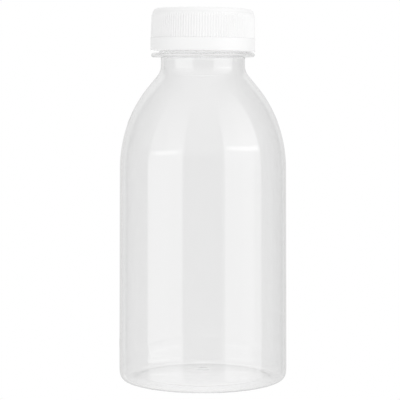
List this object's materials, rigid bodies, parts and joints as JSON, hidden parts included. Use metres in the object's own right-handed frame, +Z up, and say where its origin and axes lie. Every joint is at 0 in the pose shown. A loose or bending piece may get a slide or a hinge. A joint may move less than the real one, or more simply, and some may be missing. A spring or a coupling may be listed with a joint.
{
  "type": "milk tea bottle",
  "caption": "Empty clear drinks bottle: straight round body, domed shoulder, short wide neck with a support ring, and a white screw cap with fine grip ribs above a plain band.",
  "frame": {"origin": "centre of the flat ring on which the bottle stands", "axes": "+Z up along the bottle's axis, towards the cap; +X to the right and -Y towards the viewer of the picture"},
  "size_m": [0.0678, 0.0678, 0.1499],
  "materials": {
    "clear_pet": "clear blow-moulded polyester, glossy inside and out",
    "white_cap": "injection-moulded polyethylene, white, semi-gloss"
  },
  "bodies": {
    "root": {"bottle": "clear_pet", "cap": "white_cap"}
  },
  "joints": []
}
